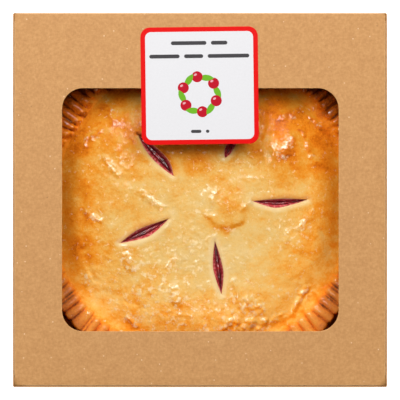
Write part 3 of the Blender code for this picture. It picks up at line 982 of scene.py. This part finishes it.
def make_pan():
    """Pressed foil with a fluted wall, a flat rim and a rolled edge."""
    shell = Shell()
    count = 360
    angle = 2 * np.pi * np.arange(count) / count
    flute = 0.5 * np.sin(60 * angle)
    wall = 0.15
    floor, top = PAN.low.z + wall, PAN.high.z
    rim = PAN.size.x / 2
    roll = [
        (rim - 1.1 + 1.1 * math.sin(turn), top - 1.1 + 1.1 * math.cos(turn), 0.0)
        for turn in np.radians(np.arange(0, 211, 30))
    ]
    inside = [(40, floor, 0), (70, floor, 0), (73.5, floor + 0.5, 0.3), (76, floor + 2.8, 1)]
    inside += [(90, top - 1.5, 1), (91.5, top, 0)]
    outside = [(radius + wall, level - wall, share) for radius, level, share in reversed(inside)]
    back = [(rim - 1.1, top - 1.1 - 0.7, 0.0), (rim - 1.5, top - wall, 0.0)]
    rings = []
    for radius, level, share in inside + roll + back + outside:
        reach = radius + share * flute
        rings.append(
            shell.add(np.column_stack((reach * np.cos(angle), reach * np.sin(angle), np.full(count, level))))
        )
    for a, b in zip(rings, rings[1:]):
        shell.join(a, b)
    shell.close(rings[0], floor)
    shell.close(rings[-1], floor - wall)
    return shell.object("foil_pan_fluted", "foil_pan", "foil", [foil_finish()], (PIE.x, PIE.y, 0))


# The carton

BOARD = 0.5
FOLD_RADIUS = 0.8
FOLD_STEPS = 6
TUCK_GAP = 0.2
SIDE_FLAP = 24
FRONT_FLAP = 30
FLAP_NOTCH = 4
FLAP_TAPER = 7
WINDOW_WIDTH = 159.6
WINDOW_DEPTH = 140.2
WINDOW_CENTRE = FILM.middle.xy
WINDOW_CORNER = 12
CUT_EDGE = 0.4  # how far in from the window the board is pressed and paler, the paleness a painted highlight along the window's edge
WALL_BOW = 0.7


def carton_tray(bm, hinge_half):
    """Floor and walls, with rounded folds. Returns the edges that the lid folds from."""
    side = CARTON.size.x
    top = CARTON.high.z - FOLD_RADIUS
    place = Matrix.Translation((0, 0, top / 2)) @ Matrix.Diagonal((side, side, top, 1))
    bmesh.ops.create_cube(bm, size=1, matrix=place)
    open_top = [f for f in bm.faces if f.calc_center_median().z > top - 1]
    bmesh.ops.delete(bm, geom=open_top, context="FACES_ONLY")
    folds = [e for e in bm.edges if min(v.co.z for v in e.verts) < 1]
    bmesh.ops.bevel(
        bm, geom=folds, offset=FOLD_RADIUS, segments=FOLD_STEPS, profile=0.5, affect="EDGES"
    )
    for x in (-hinge_half, hinge_half):
        everything = bm.verts[:] + bm.edges[:] + bm.faces[:]
        bmesh.ops.bisect_plane(bm, geom=everything, plane_co=(x, 0, 0), plane_no=(1, 0, 0))

    def on_hinge(v):
        return v.co.y > side / 2 - 0.1 and v.co.z > top - 0.1 and abs(v.co.x) < hinge_half + 0.1

    return [e for e in bm.edges if all(on_hinge(v) for v in e.verts)]


def folded(bm, edges, centre, axis):
    spun = bmesh.ops.spin(
        bm, geom=edges, cent=centre, axis=axis, angle=math.pi / 2, steps=FOLD_STEPS
    )
    return [g for g in spun["geom_last"] if isinstance(g, bmesh.types.BMEdge)]


def carton_flap(bm, edge, centre, axis, drop):
    far = folded(bm, [edge], centre, axis)
    grown = bmesh.ops.extrude_edge_only(bm, edges=far)["geom"]
    ends = [g for g in grown if isinstance(g, bmesh.types.BMVert)]
    middle = sum((v.co for v in ends), Vector()) / len(ends)
    for v in ends:
        v.co += (middle - v.co).normalized() * FLAP_TAPER
        v.co.z -= drop


def carton_lid(bm, hinge, half):
    level = CARTON.high.z
    fold_level = level - FOLD_RADIUS
    back_y = CARTON.high.y - FOLD_RADIUS
    back = folded(bm, hinge, (0, back_y, fold_level), (1, 0, 0))
    left, right = sorted({v for e in back for v in e.verts}, key=lambda v: v.co.x)
    side = half - FLAP_NOTCH
    ear = half + 0.7
    corners = [
        (-ear, back_y),
        (-ear, back_y - FLAP_NOTCH),
        (-half, back_y - FLAP_NOTCH),
        (-half, -side),
        (-ear, -side),
        (-ear, -ear),
        (-side, -ear),
        (-side, -half),
    ]
    corners += [(-x, y) for x, y in reversed(corners)]
    outline = [left, *(bm.verts.new((x, y, level)) for x, y in corners), right]
    windows = []
    for grow in (CUT_EDGE, 0):
        loop = rounded_rectangle(
            WINDOW_WIDTH + 2 * grow, WINDOW_DEPTH + 2 * grow, WINDOW_CORNER + grow
        )
        windows.append([bm.verts.new((*(Vector(p) + WINDOW_CENTRE), level)) for p in loop])
    rim = list(back)
    rim += [bm.edges.new(pair) for pair in zip(outline, outline[1:])]
    rim += [bm.edges.new(pair) for pair in zip(windows[0], windows[0][1:] + windows[0][:1])]
    bmesh.ops.triangle_fill(bm, use_beauty=True, edges=rim)
    count = len(windows[0])
    for i in range(count):
        j = (i + 1) % count
        face = bm.faces.new((windows[0][i], windows[0][j], windows[1][j], windows[1][i]))
        face.material_index = 1
    for a, b, line, axis, drop in (
        (outline[3], outline[4], (-half, 0), (0, -1, 0), SIDE_FLAP),
        (outline[14], outline[13], (half, 0), (0, 1, 0), SIDE_FLAP),
        (outline[8], outline[9], (0, -half), (1, 0, 0), FRONT_FLAP),
    ):
        carton_flap(bm, bm.edges.get((a, b)), (*line, fold_level), axis, drop)


def bowed(point):
    """Where a point of the carton lies once its walls stand a little proud at their middles."""
    half, height = CARTON.size.x / 2, CARTON.high.z
    upright = max(0.0, 1 - (2 * point.z / height - 1) ** 2)
    for axis, other in ((0, 1), (1, 0)):
        near_wall = smoothstep(half - 8, half - 2, abs(point[axis]))
        across = max(0.0, 1 - (point[other] / half) ** 2)
        point[axis] += math.copysign(WALL_BOW * upright * across * near_wall, point[axis])
    return point


def make_carton():
    half = CARTON.size.x / 2 - BOARD - TUCK_GAP - FOLD_RADIUS
    bm = bmesh.new()
    carton_lid(bm, carton_tray(bm, half), half)
    for axis, reach in ((0, 100), (1, 100), (2, 60)):
        for place in range(-reach, reach + 1, 20 if axis < 2 else 12):
            normal = Vector([float(axis == k) for k in range(3)])
            everything = bm.verts[:] + bm.edges[:] + bm.faces[:]
            bmesh.ops.bisect_plane(bm, geom=everything, plane_co=normal * (place + 0.5), plane_no=normal)
    bmesh.ops.recalc_face_normals(bm, faces=bm.faces[:])
    crease = bm.verts.layers.float.new("crease")
    for v in bm.verts:
        v[crease] = float(all(max(abs(c) for c in f.normal) < 0.9999 for f in v.link_faces))
        v.co = bowed(v.co)
        v.co *= MM
    mesh = bpy.data.meshes.new("carton_folded")
    bm.to_mesh(mesh)
    bm.free()
    floor = min(mesh.polygons, key=lambda face: face.center.z)
    if floor.normal.z > 0:
        mesh.flip_normals()
    mesh.shade_smooth()
    mesh.set_sharp_from_angle(angle=math.radians(30))
    made = bpy.data.objects.new("carton_folded", mesh)
    thickness = made.modifiers.new("board", "SOLIDIFY")
    thickness.thickness = BOARD * MM
    thickness.offset = -1
    thickness.use_even_offset = True
    thickness.material_offset_rim = 1
    board = kraft_finish("kraft_board", 0.93)
    # the cut edge finish is paler than the board: the board's own cut edges, and along the window a painted highlight
    cut = kraft_finish("kraft_cut_edge", 1.0)
    return as_piece(made, "carton", [board, cut])


# Film and label


# Creases in the film, each: start and end (x, y) from the carton's middle, half width, height.
FILM_CREASES = (
    ((-64.5, 64.0), (-51.0, 55.5), 0.9, 0.13),
    ((-56.0, 64.5), (-41.0, 54.5), 0.8, 0.13),
    ((-47.0, 62.5), (-39.5, 57.5), 0.7, 0.1),
)


def make_film():
    """Thin film with faint waves, close under the lid."""
    shell = Shell()
    thickness = 0.1
    outline = rounded_rectangle(FILM.size.x, FILM.size.y, 2, 3)
    xs = np.arange(-FILM.size.x / 2 + 2.5, FILM.size.x / 2 - 1, 2.0)
    ys = np.arange(-FILM.size.y / 2 + 2.5, FILM.size.y / 2 - 1, 2.0)
    inner = np.array([(x, y) for x in xs for y in ys])
    fine = np.array([(x + 0.13, y + 0.13) for x in np.arange(-67, -36, 0.5) for y in np.arange(51, 67, 0.5)])
    rough = (np.abs(inner[:, 0] + 51.5) > 17) | (np.abs(inner[:, 1] - 59) > 9.5)
    points, triangles = triangulated(outline, [], np.concatenate((inner[rough], fine)))
    x, y = points.T
    wave = 0.02 * field(x, y, 40, 32)
    wave *= smoothstep(0, 12, FILM.size.x / 2 - 8 - np.abs(x)) * smoothstep(0, 12, FILM.size.y / 2 - 8 - np.abs(y))
    for start, end, reach, height in FILM_CREASES:
        step = np.array(end) - np.array(start)
        offset = points - np.array(start)
        share = np.clip(offset @ step / (step @ step), 0, 1)
        away = np.hypot(*(offset - share[:, None] * step).T)
        wave -= height * np.exp(-((away / reach) ** 2)) * np.sin(np.pi * np.clip(share, 0, 1))
    level = CARTON.high.z - BOARD - 0.1
    top = shell.add(np.column_stack((points, level + wave)))
    bottom = shell.add(np.column_stack((points, level + wave - thickness)))
    shell.patch(top, triangles)
    shell.patch(bottom, triangles, facing_up=False)
    count = len(outline)
    shell.join(top[:count], bottom[:count])
    return shell.object(
        "window_film_clear", "window_film", "clear_film", [film_finish()], (*FILM.middle.xy, 0)
    )


LABEL_SIDE = 67.7
LABEL_TURN = math.radians(0.7)
LABEL_CORNER = 5.5
LABEL_BORDER = 2.7


def ellipse(middle, long, wide, turn=0.0, count=32):
    points = circle(1, count) * np.array((long / 2, wide / 2))
    spin = np.array(((math.cos(turn), math.sin(turn)), (-math.sin(turn), math.cos(turn))))
    return points @ spin + np.array(middle)


def leaf(middle, long, wide, turn):
    """A pointed leaf."""
    along = np.concatenate((np.linspace(-1, 1, 13)[:-1], np.linspace(1, -1, 13)[:-1]))
    side = np.concatenate((-np.ones(12), np.ones(12)))
    points = np.column_stack((along * long / 2, side * wide / 2 * (1 - along**2)))
    spin = np.array(((math.cos(turn), math.sin(turn)), (-math.sin(turn), math.cos(turn))))
    return points @ spin + np.array(middle)


def bar(middle, long, wide):
    return rounded_rectangle(long, wide, 0.49 * wide, 5) + np.array(middle)


def label_shapes():
    """The label's printed shapes, in the order that they are printed, each with its ink."""
    field_side = LABEL_SIDE - 2 * LABEL_BORDER
    shapes = [
        (rounded_rectangle(LABEL_SIDE, LABEL_SIDE, LABEL_CORNER), "red"),
        (rounded_rectangle(field_side, field_side, LABEL_CORNER - LABEL_BORDER + 0.6), "white"),
    ]
    # plain bars where the words stand, each row: height on the label, bar height, then bar lengths
    for level, tall, lengths in ((24.6, 2.2, (20.5, 9.5)), (17.0, 2.2, (17.5, 11, 24)), (-26.4, 1.8, (6, 2))):
        start = -(sum(lengths) + 2.6 * (len(lengths) - 1)) / 2
        for long in lengths:
            shapes.append((bar((start + long / 2, level), long, tall), "black"))
            start += long + 2.6
    # a wreath of leaves and round berries
    for step in range(12):
        turn = math.radians(30 * step + 8)
        spot = (10.2 * math.cos(turn), 10.2 * math.sin(turn) - 5)
        if step % 2:
            shapes.append((ellipse(spot, 6.4, 6.4), "berry"))
            shapes.append((ellipse((spot[0] - 1.0, spot[1] + 1.2), 1.9, 1.2, 0.5, 16), "shine"))
        else:
            shapes.append((leaf(spot, 9.0, 3.6, turn + 1.9), "green"))
    return shapes


def make_label():
    inks = {
        "red": colour(214, 18, 17),
        "white": colour(214, 213, 215),
        "black": colour(66, 64, 66),
        "berry": colour(178, 22, 40),
        "shine": colour(218, 160, 168),
        "green": colour(106, 168, 40),
    }
    shapes = label_shapes()
    points, faces = [], []
    for outline, _ in shapes:
        faces.append(tuple(range(len(points), len(points) + len(outline))))
        points += [Vector(p) for p in outline]
    made = delaunay_2d_cdt(points, [], faces, 1, 1e-4, True)
    flat = np.array([tuple(v) for v in made[0]])
    spin = np.array(
        ((math.cos(LABEL_TURN), math.sin(LABEL_TURN)), (-math.sin(LABEL_TURN), math.cos(LABEL_TURN)))
    )
    flat = flat @ spin + np.array(LABEL.middle.xy)
    mesh = bpy.data.meshes.new("label_sticker")
    level = CARTON.high.z + 0.22
    mesh.from_pydata(
        [(x * MM, y * MM, level * MM) for x, y in flat], [], [tuple(face) for face in made[2]]
    )
    names = list(inks)
    for polygon, sources in zip(mesh.polygons, made[5]):
        polygon.material_index = names.index(shapes[max(sources)][1])
    made_label = bpy.data.objects.new("label_sticker", mesh)
    thickness = made_label.modifiers.new("paper", "SOLIDIFY")
    thickness.thickness = 0.15 * MM
    thickness.offset = -1
    return as_piece(
        made_label, "label", [print_finish(f"label_{n}", inks[n]) for n in names]
    )


# Floor, light and camera


def make_stage():
    bpy.ops.mesh.primitive_plane_add(size=3)
    floor = bpy.context.object
    floor.name = "floor"
    finish = Finish("floor", Roughness=0.9)
    finish.shader.inputs["Base Color"].default_value = (0.9, 0.9, 0.9, 1)
    finish.shader.inputs["Emission Color"].default_value = (1, 1, 1, 1)
    finish.shader.inputs["Emission Strength"].default_value = 1.0
    floor.data.materials.append(finish.material)


def area_light(name, place, target, size, watts):
    data = bpy.data.lights.new(name, "AREA")
    data.shape = "RECTANGLE"
    data.size, data.size_y = size
    data.energy = watts
    made = bpy.data.objects.new(name, data)
    made.location = place
    made.rotation_euler = (Vector(target) - Vector(place)).to_track_quat("-Z", "Y").to_euler()
    bpy.context.scene.collection.objects.link(made)


def from_angles(azimuth, elevation, distance):
    azimuth, elevation = math.radians(azimuth), math.radians(elevation)
    level = distance * math.cos(elevation)
    return (level * math.cos(azimuth), level * math.sin(azimuth), distance * math.sin(elevation))


def light_scene():
    for name, azimuth, watts in (("key_left", 132, 14.3), ("key_right", 50, 11.2)):
        area_light(name, from_angles(azimuth, 61, 1.4), (0, 0, 0.05), (0.5, 0.85), watts)
    area_light("sparkle", from_angles(-84, 68, 1.4), (0, 0, 0.05), (0.34, 0.26), 1.8)
    world = bpy.data.worlds.new("studio")
    world.use_nodes = True
    background = world.node_tree.nodes["Background"]
    background.inputs["Color"].default_value = (1, 1, 1, 1)
    background.inputs["Strength"].default_value = 0.01
    bpy.context.scene.world = world
    bpy.context.scene.view_settings.view_transform = "Standard"


def make_camera():
    """Straight above the lid, with the carton's back at the top of the picture."""
    height = 1.5
    picture = CARTON.size.x * MM * 400 / 374.4
    data = bpy.data.cameras.new("camera")
    data.lens = data.sensor_width * height / picture
    made = bpy.data.objects.new("camera", data)
    made.location = (0, 0, CARTON.high.z * MM + height)
    bpy.context.scene.collection.objects.link(made)
    bpy.context.scene.camera = made


make_camera()
light_scene()
make_stage()
make_carton()
make_film()
make_label()
make_pan()
make_filling()
make_crust()
